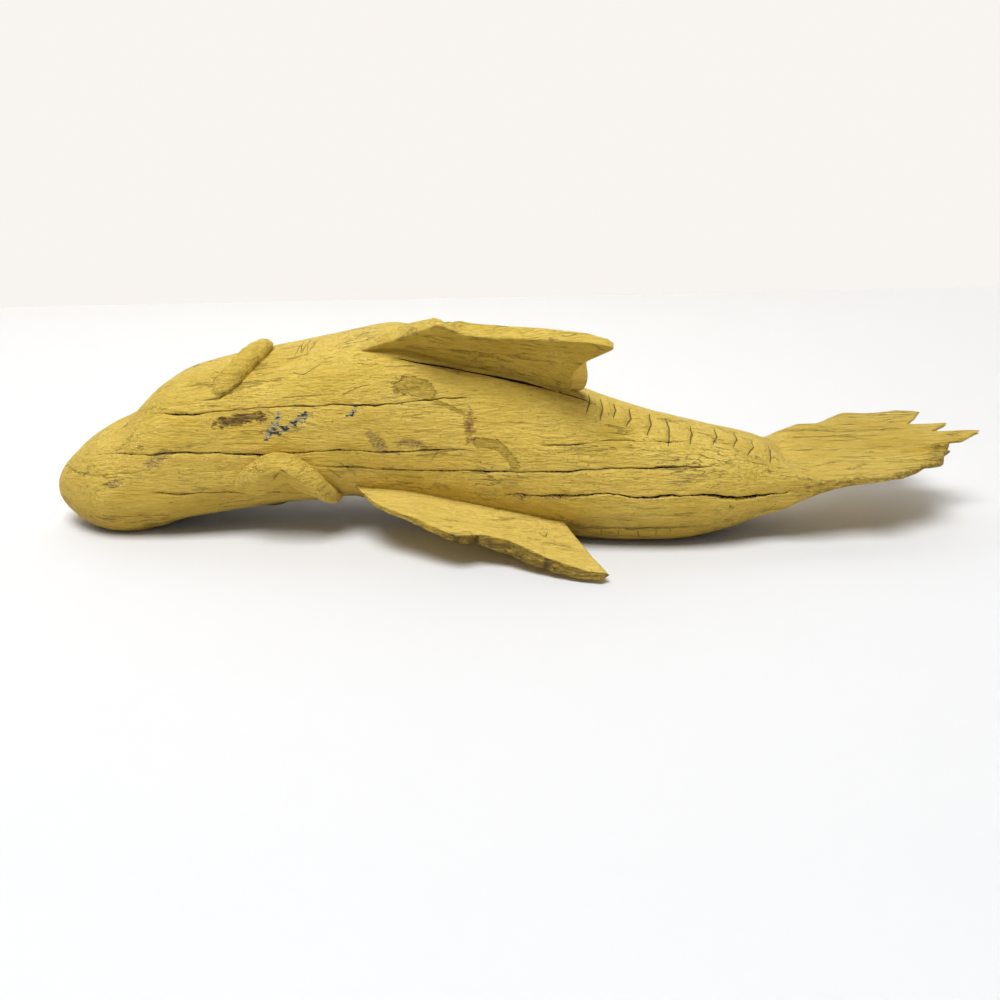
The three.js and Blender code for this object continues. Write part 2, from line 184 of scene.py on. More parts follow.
# Drying checks along the grain: stations and heights, then half width, depth and side. The last three
# are on the far side (-1), where angles run past a quarter turn.
CHECKS = [
    ([(-229, 74), (-209, 78), (-193, 78.5), (-155, 82), (-126, 84), (-103, 86), (-85, 86), (-69, 88),
      (-45, 90), (-20, 91)], 0.36, 2.0, 1),
    ([(-256, 51), (-240, 54), (-215, 56), (-194, 57), (-166, 56), (-146, 55.5), (-128, 57), (-104, 59),
      (-75, 59), (-52, 61), (-26, 63)], 0.42, 2.6, 1),
    ([(-276, 41), (-262, 41), (-247, 42), (-229, 44.5), (-218, 45)], 0.24, 1.0, 1),
    ([(-222, 34), (-201, 32), (-184, 33), (-163, 33), (-137, 33), (-120, 32.5)], 0.38, 2.0, 1),
    ([(-122, 49.5), (-105, 48), (-90, 48), (-69, 48), (-52, 48), (-28, 49), (0, 50), (23, 51), (45, 53),
      (68, 53), (91, 53), (118, 52)], 0.38, 2.4, 1),
    ([(-14, 34), (23, 36), (51, 38), (68, 36), (86, 37), (103, 37), (121, 34), (147, 31), (166, 31)],
     0.66, 3.4, 1),
    ([(5, 65), (22, 66), (36, 67), (51, 68), (75, 66), (99, 64.5)], 0.27, 1.0, 1),
    ([(-240, 60), (-190, 58), (-130, 62)], 0.45, 1.8, -1),
    ([(-150, 76), (-90, 72), (-20, 68), (60, 60)], 0.5, 2.4, -1),
    ([(-60, 38), (10, 40), (90, 42), (130, 41)], 0.5, 2.4, -1),
]
# The gap along the right fin is drawn in the paint like the checks, as painted shade between fin and log
FIN_GAP = ([(-74, 111.5), (-64, 109.4), (-48, 106), (-27, 102), (-5, 97.6), (17, 92.2), (36, 85.8),
            (50, 80.5)], 1.1, 3.4, 1)
CALM = 0.1  # the gap along the right fin follows a sawn edge and hardly jumps

# Rings from the snout to the broken end, points round each ring
nose = SNOUT_TIP + NOSE * (1 - np.cos(np.linspace(0.02, pi / 2, 23)))
body_x = np.concatenate([nose, np.arange(-242, -80, 2.0), np.arange(-80, 134, 1.45),
                         np.arange(134, FAN_START, 2.0)])
fan_share = np.concatenate([np.linspace(0, 0.985, 58), [0.99, 0.9945, 0.998, 1.0]])
station = np.concatenate([body_x, np.full(len(fan_share), FAN_START)])[:, None]
share = np.concatenate([np.zeros(len(body_x)), fan_share])[:, None]
KEEL, OVER = -1.45, 2.3  # the fine half of a ring runs from the keel over the viewer's side and the top
turn = np.concatenate([np.linspace(KEEL, OVER, 226), np.linspace(OVER, 2 * pi + KEEL, 72)[1:-1]])[None]
OVALITY = 2.3


def fullness(x, angle):
    """Squareness of the section: an oval, with a firmer lower corner along the near side of the head."""
    head = smooth(-225, -205, x) * smooth(-95, -130, x)
    return OVALITY + 1.3 * head * smooth(0.1, -0.4, angle) * smooth(-2.2, -1.5, angle)


def body_point(x, angle):
    """Point on the skin of the body: an oval between the four lines, drawn in to a round snout."""
    across, up = oval(angle, fullness(x, angle))
    ahead = np.clip((x - SNOUT_TIP) / NOSE, 0, 1)
    full = np.sqrt(1 - (1 - ahead) ** 2)
    y = (back(x) + belly(x)) / 2 + (belly(x) - back(x)) / 2 * full * across
    z = (top(x) + under(x)) / 2 + (top(x) - under(x)) / 2 * full * up
    return np.stack(np.broadcast_arrays(x, y, z), -1)


def crossing(check, x):
    """Angle at which a check crosses a station, with its small jumps from one growth ring to the next,
    and how open it is there, which fades to nothing at both ends."""
    points, side = check[0], check[3]
    first, last = points[0][0], points[-1][0]
    at = np.stack([x * 0.16, 0 * x + 3.7 * first, 0 * x], -1)
    jump = (0.5 * ripple(at, 11) + 0.25 * ripple(at * 2.3, 12)) * (CALM if check is FIN_GAP else 1)
    fade = 0.1 * (last - first)
    opening = smooth(first, first + fade, x) * smooth(last, last - fade, x)
    ahead = np.clip((x - SNOUT_TIP) / NOSE, 0.02, 1)
    half = (top(x) - under(x)) / 2 * np.sqrt(1 - (1 - ahead) ** 2)
    up = ((line(points)(x) - (top(x) + under(x)) / 2) / half).clip(-0.985, 0.985)
    up = (up + jump * np.sqrt(1 - up ** 2) / half).clip(-0.99, 0.99)
    angle = np.arctan2(up, (1 - np.abs(up) ** OVALITY) ** (1 / OVALITY))
    opening = opening * (0.72 + 0.6 * ripple(at * 0.6, 13)).clip(0.4, 1.2)
    return np.where(side > 0, angle, pi - angle), opening


def gather(turn, x):
    """Moves grid lines towards the checks: each line steps in by a bell-shaped share of its distance,
    so the lines stand about three times closer there and no two change places."""
    reach, pull = 0.055, 0.68
    moved = turn + 0 * x
    for check in CHECKS + [FIN_GAP]:
        angle, opening = crossing(check, x)
        d = (turn - angle) / reach
        moved = moved - pull * np.clip(opening * 2, 0, 1) * reach * d * np.exp(-d * d / 2)
    return moved


def carved_log():
    """Rings of the log. A body ring is the oval of body_point; towards the fan it squares up, earlier on
    the viewer's side, and each point of the fan is carried to its own share of the way from the fan's
    start to the splintered end. The fan rolls towards the viewer and thins to its edges."""
    angle = gather(turn, station)
    across, up = oval(angle, fullness(station, angle))
    flat_turn = np.interp(turn, [KEEL, -0.55, 0.15, OVER, 2.5, 2.75, 2 * pi + KEEL],
                          [KEEL, -0.785, 0.785, OVER, 2.36, 3.93, 2 * pi + KEEL])
    fan_across, fan_up = oval(flat_turn, FAN_SQUARENESS)
    flank = smooth(1.1, 0.3, turn) * smooth(-1.3, -0.5, turn)
    fan = smooth(146.0 - 16 * flank, 180.0, station + 90 * share)
    across = across + fan * (fan_across - across)
    up = up + fan * (fan_up - up)

    near_x = FAN_START + share * (FAN_NEAR - FAN_START)
    far_x = FAN_START + share * (FAN_FAR - FAN_START)
    near = np.where(share > 0, fan_near(near_x), back(station))
    far = np.where(share > 0, fan_far(far_x), belly(station))
    place = (across + 1) / 2
    end_y = FAN_END[0, 0] + place * (FAN_END[-1, 0] - FAN_END[0, 0])
    x = station + share * (np.interp(end_y, FAN_END[:, 0], FAN_END[:, 1]) - FAN_START)

    ahead = np.clip((x - SNOUT_TIP) / NOSE, 0, 1)
    full = np.sqrt(1 - (1 - ahead) ** 2)
    y = (near + far) / 2 + (far - near) / 2 * full * across
    sleeve = top(x - 3 * fan * (1 - across ** 2))
    crest = sleeve + smooth(-0.1, -0.75, across) * (side_top(x) - sleeve) * smooth(120, 150, x)
    rolled = FAN_ROLL * across * np.where(across > 0, smooth(152, 163, x), smooth(150, 175, x))
    crest = crest + rolled + 3 * smooth(0.5, 1.0, across) * smooth(155, 166, x) * smooth(205, 180, x)
    keel = under(x) + rolled
    keel = keel + 0.52 * smooth(150, 185, x) * across ** 2 * (crest - keel)
    blunt = 1 - 0.5 * smooth(0.985, 1.0, share) ** 2
    z = (crest + keel) / 2 + (crest - keel) / 2 * blunt * full * up
    return np.stack([x, y, z], -1), angle, fan


SKIN_RADIUS = 46.0  # mean radius, at which the skin is unrolled to draw on it
FAR_OFF = 99.0


def stroke(x, angle, points, radius=SKIN_RADIUS):
    """Signed distance in millimetres from a drawn stroke on the unrolled skin, to the nearest of its
    straight pieces, and the share of the stroke passed there."""
    spot = np.stack([x, angle * radius], -1)
    knots = np.array(points, float) * (1, radius)
    nearest, passed = np.full(x.shape, FAR_OFF), np.zeros(x.shape)
    for i, (a, b) in enumerate(zip(knots[:-1], knots[1:])):
        run = b - a
        t = np.clip(((spot - a) * run).sum(-1) / (run @ run), 0, 1)
        away = spot - a - t[..., None] * run
        hand = np.where(run[0] * away[..., 1] < run[1] * away[..., 0], -1, 1)
        d = np.linalg.norm(away, axis=-1) * hand
        closer = np.abs(d) < np.abs(nearest)
        nearest = np.where(closer, d, nearest)
        passed = np.where(closer, (i + t) / (len(knots) - 1), passed)
    return nearest, passed


def patch(x, angle, centre, size, tilt=0.0):
    """How far inside a worn patch a point lies: 1 at its middle, a half on its edge, 0 well outside.
    The patch is an ellipse on the unrolled skin."""
    dx, da = x - centre[0], (angle - centre[1]) * SKIN_RADIUS
    c, s = np.cos(tilt), np.sin(tilt)
    return np.clip(1 - np.hypot((c * dx + s * da) / size[0], (c * da - s * dx) / size[1]) / 2, 0, 1)


def seam(x, angle, points, width):
    """The same measure for a narrow seam along a drawn stroke."""
    return np.clip(1 - np.abs(stroke(x, angle, points)[0]) / (2 * width), 0, 1)


NO_LINE, LINE_REACH = 9.0, 3.0  # distance given where there is no line, and reach of a line's width


def incised(x, angle, strokes, radius=SKIN_RADIUS):
    """Cuts along drawn strokes of a given depth and half width, both running out at the two ends: how
    deep the skin sinks, the signed distance to the nearest cut, and its half width there."""
    deep, cut, wide = np.zeros(x.shape), np.full(x.shape, NO_LINE), np.zeros(x.shape)
    for points, depth, half in strokes:
        d, passed = stroke(x, angle, points, radius)
        ends = np.sqrt(np.clip(4 * passed * (1 - passed), 0, 1))
        deep += depth * ends * np.exp(-(d / (2.2 * half)) ** 2)
        closer = np.abs(d) < np.abs(cut)
        cut = np.where(closer, d, cut)
        wide = np.where(closer, np.where(np.abs(d) < LINE_REACH, half * ends, 0), wide)
    return deep, cut, wide


log, log_angle, log_fan = carved_log()
x = log[..., 0]
around = np.roll(log, -1, 1) - np.roll(log, 1, 1)
turned = np.roll(log_angle, -1, 1) - np.roll(log_angle, 1, 1)
turned = np.where(turned < 0, turned + 2 * pi, turned)
radius = np.clip(np.linalg.norm(around, axis=-1) / np.maximum(turned, 1e-6), 6, 70)

# The checks sink in, with a slack lip on the lower side; the wood swells a little along the fin's gap,
# which comes last
gap, opened, ragged = np.full(x.shape, NO_LINE), np.zeros(x.shape), np.ones(x.shape)
sink = np.zeros(x.shape)
for check in CHECKS + [FIN_GAP]:
    angle, opening = crossing(check, x)
    d = ((log_angle - angle + pi) % (2 * pi) - pi) * radius
    half, depth = check[1] * np.clip(opening, 0, 1.2), check[2]
    wide = np.maximum(half, 0.15)
    slack = 0.3 * np.exp(-((d + 0.4 * wide) / (2.8 * wide)) ** 2)
    sink += opening * (depth * np.exp(-(d / wide) ** 2) + slack)
    closer = np.abs(d) < np.abs(gap)
    gap = np.where(closer, d, gap)
    opened = np.where(closer, np.where(np.abs(d) < LINE_REACH, half, 0), opened)
    ragged = np.where(closer, CALM if check is FIN_GAP else 1.0, ragged)
GAP_SWELL, GAP_REACH = 2.2, 8
sink -= GAP_SWELL * opening * np.exp(-(d / GAP_REACH) ** 2)

# Strokes of station and angle: chisel notches over the top edge behind the fin, small cuts by the brows,
# along the keel and on the fan, and the cut that sets off the right brow; each kind has a depth and a
# half width
NOTCH_CUT, SMALL_CUT, DEEP_CUT = (1.4, 0.55), (0.45, 0.25), (1.2, 0.6)
NOTCHES = [((41, 1.5), (40.5, 1.2), (38, 0.95)), ((48, 1.52), (48.5, 1.2), (46, 0.92)),
           ((56, 1.5), (56.5, 1.3), (54, 1.05)), ((65, 1.5), (65, 1.2), (61, 0.96)),
           ((77, 1.52), (77, 1.2), (73, 0.9)), ((87, 1.55), (87.5, 1.2), (85, 0.8)),
           ((101, 1.45), (101, 1.2), (98, 0.9)), ((117, 1.6), (117, 1.3), (112, 1.0)),
           ((130, 1.68), (130, 1.35), (125, 1.04)), ((140, 1.5), (139.5, 1.2), (133, 0.86)),
           ((152, 1.5), (150, 1.1), (147, 0.74))]
CUTS = [((-129, 1.75), (-132, 1.14)), ((-125, 1.75), (-128, 1.2)), ((-120, 1.6), (-124, 1.15)),
        ((-112, -0.35), (-104, -0.53)), ((-97, -0.31), (-96, -0.51)), ((-105, -0.29), (-98, -0.43)),
        ((116, 1.12), (121, 1.1), (126, 1.17)), ((128, 0.78), (137, 0.73), (146, 0.71)),
        ((87, 1.45), (96, 1.58)), ((29, -0.66), (47, -0.62), (76, -0.53), (104, -0.52)),
        ((48, -0.63), (49, -0.8)), ((58, -0.6), (59, -0.82)), ((69, -0.56), (71, -0.8)),
        ((80, -0.55), (81, -0.78)), ((88, -0.53), (88.5, -0.66)),
        ((-132, 0.88), (-124, 0.82), (-113, 0.95)), ((-103, 0.48), (-91, 0.56), (-84, 0.58)),
        ((-138, 0.57), (-109, 0.52)), ((-181, 1.2), (-173, 1.06), (-168, 0.98)),
        ((-176, 1.06), (-179, 0.95)), ((-52, -0.17), (-47, -0.02), (-34, 0.07), (-23, 0.1)),
        ((170, 0.68), (184, 0.74), (197, 0.8))]
UNDERCUT = [((-183, 0.72), (-173, 0.7), (-164, 0.84), (-157, 1.04))]
strokes = [(points, *size) for kind, size in
           ((NOTCHES, NOTCH_CUT), (CUTS, SMALL_CUT), (UNDERCUT, DEEP_CUT)) for points in kind]
cut_depth, cut, cut_wide = incised(x, log_angle, strokes)
sink += cut_depth

# Worn patches: bare brown wood, old dark paint under the mustard, thin rubs, flaked paint, rust stain
bare = patch(x, log_angle, (-160, 0.385), (16, 3.2))
old = np.maximum.reduce([seam(x, log_angle, [(-138, 0.36), (-141, 0.24), (-145, 0.13)], 2.6),
                         seam(x, log_angle, [(-122, 0.31), (-130, 0.23), (-137, 0.16)], 2.0),
                         0.9 * seam(x, log_angle, [(-93, 0.34), (-97, 0.25)], 1.4)])
rub = np.maximum.reduce([patch(x, log_angle, (-209, 0.15), (7.5, 3.8)),
                         0.92 * patch(x, log_angle, (-238, 0.17), (6.5, 3.4)),
                         patch(x, log_angle, (-81, -0.05), (7, 3.6), -0.9),
                         0.9 * patch(x, log_angle, (-62, -0.01), (10, 2.2), 0.1),
                         0.72 * patch(x, log_angle, (216, 0.92), (4.5, 2.6)),
                         0.8 * patch(x, log_angle, (199, 0.46), (7, 3))])
flake = np.maximum.reduce([patch(x, log_angle, (-59, 0.6), (12, 4.6), 0.12),
                           seam(x, log_angle, [(-62, 0.53), (-45, 0.53), (-34, 0.49), (-28, 0.43)], 1.0),
                           seam(x, log_angle, [(-24, 0.19), (-13, 0.22), (-8, 0.15), (-2, 0.03)], 2.4)])
rust = patch(x, log_angle, (-28, 0.36), (3.2, 8.5), -0.1)
worn_to = np.maximum.reduce([bare, old - 0.1, rub, flake, rust]) + 0.2 * ripple(log / (4, 2, 2), 21)
PAINT_COAT = 0.32
sink += PAINT_COAT * smooth(0.46, 0.58, worn_to)

# A rounded swelling under the head, gouge marks and open grain everywhere, torn grain and splinters at
# the end of the fan, then the flats it lies on
HEAD_SWELL = 7.0
swelling = np.exp(-((x + 152) / 15) ** 2 - ((log[..., 1] - 18) / 15) ** 2) * smooth(45, 30, log[..., 2])
sink -= HEAD_SWELL * swelling
sink += 0.42 * ripple(log / (36, 12, 12), 31) + 0.24 * ripple(log / (15, 5, 5), 32)
sink += 0.1 * ripple(log / (50, 1.7, 1.7), 33)
torn = log_fan * (0.5 + 2.2 * smooth(0.72, 0.95, share) * smooth(45, 10, log[..., 1]))
sink += torn * (0.5 * ripple(log / (40, 5, 40), 34) + 0.3 * ripple(log / (30, 2.2, 30), 35))
kept_tip = np.clip(smooth(-284, -270, x) + 0.3, 0, 1)
log = log - outward(log) * (sink * kept_tip)[..., None]
SPLINTER = 1.5
splintered = log_fan * smooth(0.74, 0.95, share) * smooth(42, 12, log[..., 1])
ridges = ripple(log / (34, 4, 34), 36) + 0.5 * ripple(log / (26, 1.9, 26), 37)
log[..., 2] += SPLINTER * splintered * ridges
log[..., 2] = np.maximum(log[..., 2], 0.0)

# Painted shade low on the near side, grime on the fan, painted shade under the belly, bare rough wood
# along the fan's rim
low_side = smooth(-2.2, -1.4, log_angle)
# painted shade: darker low on the near side of the body and the head; grime on the fan
grime_and_shade = np.maximum.reduce([
    0.95 * smooth(-0.15, -0.7, log_angle) * low_side * smooth(-110, -40, x),
    0.7 * smooth(-0.2, -0.9, log_angle) * low_side * smooth(-90, -130, x),
    0.6 * log_fan])
# painted shade: near black under the belly on both sides, clear of the snout and the fan
near_soil = smooth(-0.72, -1.15, log_angle) * smooth(-2.6, -2.2, log_angle)
far_soil = smooth(2 * pi - 2.4, 2 * pi - 1.9, log_angle)
soil = np.where(log_angle > pi, far_soil, near_soil) * (1 - log_fan) * smooth(-278, -255, x)
from_rim = log[..., 1] - log[..., 1].min(1, keepdims=True)
edge = log_fan * np.maximum(0.5 * smooth(5, 2, from_rim), 0.52 * splintered)
carved = skin("carved_log", log, {
    "gap": gap, "opened": opened, "ragged": ragged, "cut": cut, "cut_wide": cut_wide, "bare": bare,
    "old": old, "rub": rub, "flake": flake, "rust": rust, "grime_and_shade": grime_and_shade, "soil": soil, "edge": edge})


def fill(tree, socket, value):
    """Sets a socket, by a link from another socket or to a plain value."""
    if isinstance(value, bpy.types.NodeSocket):
        tree.links.new(value, socket)
    else:
        socket.default_value = value


def link(tree, kind, **inputs):
    """Adds a node and fills its sockets, by number for in0, in1 and so on, otherwise by name."""
    node = tree.nodes.new(kind)
    for name, value in inputs.items():
        fill(tree, node.inputs[int(name[2:])] if name.startswith("in") else node.inputs[name], value)
    return node


def mixed(tree, factor, a, b, how="MIX"):
    """Lays colour b over colour a by a factor."""
    node = tree.nodes.new("ShaderNodeMix")
    node.data_type, node.blend_type = "RGBA", how
    for socket, value in ((0, factor), (6, a), (7, b)):
        fill(tree, node.inputs[socket], value)
    return node.outputs[2]


def banded(tree, value, low, high, start=0.0, end=1.0):
    """Straight ramp from start at low to end at high, held outside."""
    node = link(tree, "ShaderNodeMapRange", in0=value, in1=low, in2=high, in3=start, in4=end)
    return node.outputs[0]


def product(tree, a, b, how="MULTIPLY"):
    """Two numbers multiplied, or joined in another way that is named."""
    node = link(tree, "ShaderNodeMath", in0=a, in1=b)
    node.operation = how
    return node.outputs[0]


def size_of(tree, value):
    """A number without its sign."""
    node = link(tree, "ShaderNodeMath", in0=value)
    node.operation = "ABSOLUTE"
    return node.outputs[0]


def stretched(tree, coords, scale, detail, seed):
    """Noise along the grain: scale is repeats per metre along, across and up."""
    laid = link(tree, "ShaderNodeMapping", in0=coords, in1=(seed, seed * 0.7, seed * 1.3), in3=scale)
    noise = link(tree, "ShaderNodeTexNoise", Vector=laid.outputs[0], Scale=1.0, Detail=detail,
                 Roughness=0.6)
    return noise.outputs[0]


def mark(tree, name):
    """A number that the piece carries on its points."""
    node = tree.nodes.new("ShaderNodeAttribute")
    node.attribute_name = name
    return node.outputs["Fac"]


def field(tree, name, wander, reach):
    """How far inside a worn patch, with its edge pushed about by a noise."""
    pushed = product(tree, product(tree, wander, 0.5, "SUBTRACT"), reach)
    return product(tree, mark(tree, name), pushed, "ADD")


def shown(tree, name, wander, reach, crisp):
    """The patch itself: 0 outside, 1 inside."""
    return banded(tree, field(tree, name, wander, reach), 0.5 - crisp, 0.5 + crisp)


def drawn_line(tree, name, width_name, shake, crisp):
    """A dark line where the signed distance in millimetres, shaken a little, is less than the width."""
    distance = size_of(tree, product(tree, mark(tree, name), shake, "ADD"))
    inside = product(tree, mark(tree, width_name), distance, "SUBTRACT")
    return banded(tree, inside, 0.0, crisp)


def near_half(tree, noise, far, close):
    """Thin lines where a noise passes a half."""
    return banded(tree, size_of(tree, product(tree, noise, 0.5, "SUBTRACT")), far, close)


def new_material(name):
    """A new material: itself, its nodes, its shader and the piece's own coordinates."""
    material = bpy.data.materials.new(name)
    material.use_nodes = True
    tree = material.node_tree
    coords = tree.nodes.new("ShaderNodeTexCoord").outputs["Object"]
    return material, tree, tree.nodes["Principled BSDF"], coords


def mustard_paint():
    """Matt mustard paint on open-grained wood: slow changes of tone, dark grain lines and pits, hair
    checks, and the splits, cuts and worn patches whose places the pieces carry. The splits and cuts
    are painted dark as shade, and painted shade and painted light go where the pieces mark them."""
    material, tree, shader, coords = new_material("mustard_paint")
    cloud = stretched(tree, coords, (16, 26, 26), 3.0, 1.0)
    streak = stretched(tree, coords, (14, 190, 190), 4.0, 2.0)
    grain = stretched(tree, coords, (150, 900, 900), 4.0, 3.0)
    speck = stretched(tree, coords, (700, 1300, 1300), 3.0, 4.0)
    hair = stretched(tree, coords, (9, 150, 150), 3.0, 5.0)
    worn = stretched(tree, coords, (260, 420, 420), 5.0, 6.0)
    ragged = stretched(tree, coords, (330, 60, 60), 4.0, 8.0)
    coat = stretched(tree, coords, (26, 210, 210), 3.0, 9.0)
    wrinkle = stretched(tree, coords, (70, 430, 430), 4.0, 10.0)

    tone = mixed(tree, banded(tree, cloud, 0.35, 0.65), (0.71, 0.495, 0.068, 1), (0.84, 0.615, 0.12, 1))
    for noise, start, end, most, colour in (
            (streak, 0.45, 0.7, 0.22, (0.50, 0.34, 0.045, 1)),
            (streak, 0.42, 0.26, 0.25, (0.86, 0.64, 0.16, 1)),
            (grain, 0.52, 0.7, 0.35, (0.40, 0.265, 0.03, 1)),
            (grain, 0.46, 0.3, 0.3, (0.92, 0.70, 0.2, 1)),
            (wrinkle, 0.44, 0.3, 0.3, (0.42, 0.29, 0.035, 1)),
            (wrinkle, 0.56, 0.7, 0.3, (0.95, 0.73, 0.2, 1))):
        tone = mixed(tree, banded(tree, noise, start, end, 0.0, most), tone, colour)
    pit = product(tree, banded(tree, speck, 0.63, 0.69), banded(tree, cloud, 0.42, 0.66, 0.2, 0.9))
    tone = mixed(tree, product(tree, pit, 0.75), tone, (0.13, 0.08, 0.016, 1))
    thread = product(tree, near_half(tree, hair, 0.018, 0.007), banded(tree, cloud, 0.56, 0.66))
    tone = mixed(tree, product(tree, thread, 0.7), tone, (0.14, 0.085, 0.02, 1))
    dry = product(tree, hair, product(tree, mark(tree, "grime_and_shade"), 0.09), "ADD")
    fine = product(tree, near_half(tree, coat, 0.028, 0.011), banded(tree, dry, 0.575, 0.635))
    tone = mixed(tree, product(tree, fine, 0.48), tone, (0.2, 0.125, 0.012, 1))
    # painted light: lighter paint where the pieces mark it
    tone = mixed(tree, mark(tree, "pale"), tone, (0.95, 0.72, 0.19, 1))

    # Worn patches, each broken up by a noise, then grime and painted shade over everything
    rough_in = banded(tree, worn, 0.38, 0.62)
    flaked = shown(tree, "flake", worn, 0.8, 0.04)
    torn_rim = near_half(tree, field(tree, "flake", worn, 0.8), 0.06, 0.02)
    rubbed = shown(tree, "rub", worn, 1.1, 0.1)
    brown = shown(tree, "bare", worn, 1.7, 0.1)
    rusty = shown(tree, "rust", worn, 1.5, 0.08)
    under_coat = shown(tree, "old", worn, 1.6, 0.05)
    chipped = shown(tree, "edge", worn, 1.0, 0.08)
    for cover, noise, start, end, least, most, colour in (
            (flaked, rough_in, 0, 1, 0.35, 0.85, (0.39, 0.26, 0.028, 1)),
            (torn_rim, speck, 0.42, 0.56, 0.1, 0.75, (0.16, 0.1, 0.018, 1)),
            (rubbed, speck, 0.4, 0.58, 0.2, 0.85, (0.25, 0.16, 0.075, 1)),
            (brown, grain, 0.62, 0.4, 0.6, 1.0, (0.085, 0.042, 0.014, 1)),
            (rusty, rough_in, 0, 1, 0.2, 0.9, (0.24, 0.1, 0.03, 1)),
            (under_coat, speck, 0.56, 0.48, 0.0, 1.0, (0.33, 0.345, 0.26, 1)),
            (under_coat, worn, 0.53, 0.57, 0.0, 1.0, (0.02, 0.022, 0.026, 1)),
            (chipped, grain, 0.36, 0.62, 0.25, 0.8, (0.2, 0.13, 0.03, 1))):
        broken = product(tree, cover, banded(tree, noise, start, end, least, most))
        tone = mixed(tree, broken, tone, colour)
    # grime, and painted shade, multiplied over the colour where the pieces mark them
    dirt_and_shade = product(tree, mark(tree, "grime_and_shade"), banded(tree, cloud, 0.3, 0.7, 1.0, 0.7))
    tone = mixed(tree, dirt_and_shade, tone, (0.70, 0.68, 0.52, 1), "MULTIPLY")
    # painted shade under the belly
    soiled = product(tree, mark(tree, "soil"), banded(tree, worn, 0.3, 0.6, 0.75, 0.95))
    tone = mixed(tree, soiled, tone, (0.075, 0.05, 0.02, 1))

    # Painted shade down the splits and in the cuts, and a painted highlight along each split's lower lip
    shake = product(tree, product(tree, ragged, 0.5, "SUBTRACT"), 2.0)
    shake = product(tree, shake, mark(tree, "ragged"))
    split = drawn_line(tree, "gap", "opened", shake, 0.16)
    # painted highlight: a pale line along the lower lip of each split
    below = product(tree, product(tree, mark(tree, "opened"), 1.3), shake, "ADD")
    lip = product(tree, drawn_line(tree, "gap", "opened", below, 0.3), 0.55)
    tone = mixed(tree, lip, tone, (0.85, 0.66, 0.22, 1))
    # painted shade in the cuts
    scored = drawn_line(tree, "cut", "cut_wide", product(tree, shake, 0.5), 0.2)
    tone = mixed(tree, product(tree, scored, 0.75), tone, (0.09, 0.055, 0.014, 1))
    # painted shade: a near-black line down each split and along the right fin's gap
    tone = mixed(tree, split, tone, (0.014, 0.009, 0.004, 1))
    tree.links.new(tone, shader.inputs["Base Color"])

    rough = banded(tree, streak, 0.3, 0.7, 0.56, 0.76)
    rough = product(tree, rough, product(tree, brown, 0.15), "ADD")
    tree.links.new(rough, shader.inputs["Roughness"])
    shader.inputs["Specular IOR Level"].default_value = 0.35

    layers = product(tree, banded(tree, coat, 0.45, 0.462), banded(tree, coat, 0.56, 0.572), "ADD")
    height = product(tree, product(tree, grain, 0.9), product(tree, streak, 0.6), "ADD")
    skin_relief = product(tree, product(tree, wrinkle, 1.5), product(tree, worn, 0.7), "ADD")
    height = product(tree, height, skin_relief, "ADD")
    height = product(tree, height, product(tree, layers, 0.3), "ADD")
    for hollow, depth in ((pit, 0.9), (thread, 0.8), (fine, 0.7), (flaked, 0.5), (rubbed, 0.4),
                          (scored, 0.8)):
        height = product(tree, height, product(tree, hollow, depth), "SUBTRACT")
    bump = link(tree, "ShaderNodeBump", Strength=1.0, Distance=0.0013, Height=height)
    tree.links.new(bump.outputs[0], shader.inputs["Normal"])
    return material


PAINT = mustard_paint()
carved.data.materials.append(PAINT)
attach(carved, "root")
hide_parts("body")

# The fins: two sawn boards of the same wood, let into housings in the log and painted with it. The right
# one stands up with a scooped inner face, the left one reaches out low over the ground with a rough,
# broken outer edge.
BLADE_ROWS, BLADE_COLUMNS, BLADE_SQUARENESS = 170, 150, 18.0


def fin_frame(front, rear, lift):
    """Middle of the root and the three directions of a board: along the chord, out along the span,
    and across the board, which is the cross product of the two."""
    front, rear = np.array(front, float), np.array(rear, float)
    chord = (rear - front) / np.linalg.norm(rear - front)
    span = np.array([0, -np.cos(lift), np.sin(lift)])
    span = span - (span @ chord) * chord
    span /= np.linalg.norm(span)
    return (front + rear) / 2, np.stack([chord, span, np.cross(chord, span)])


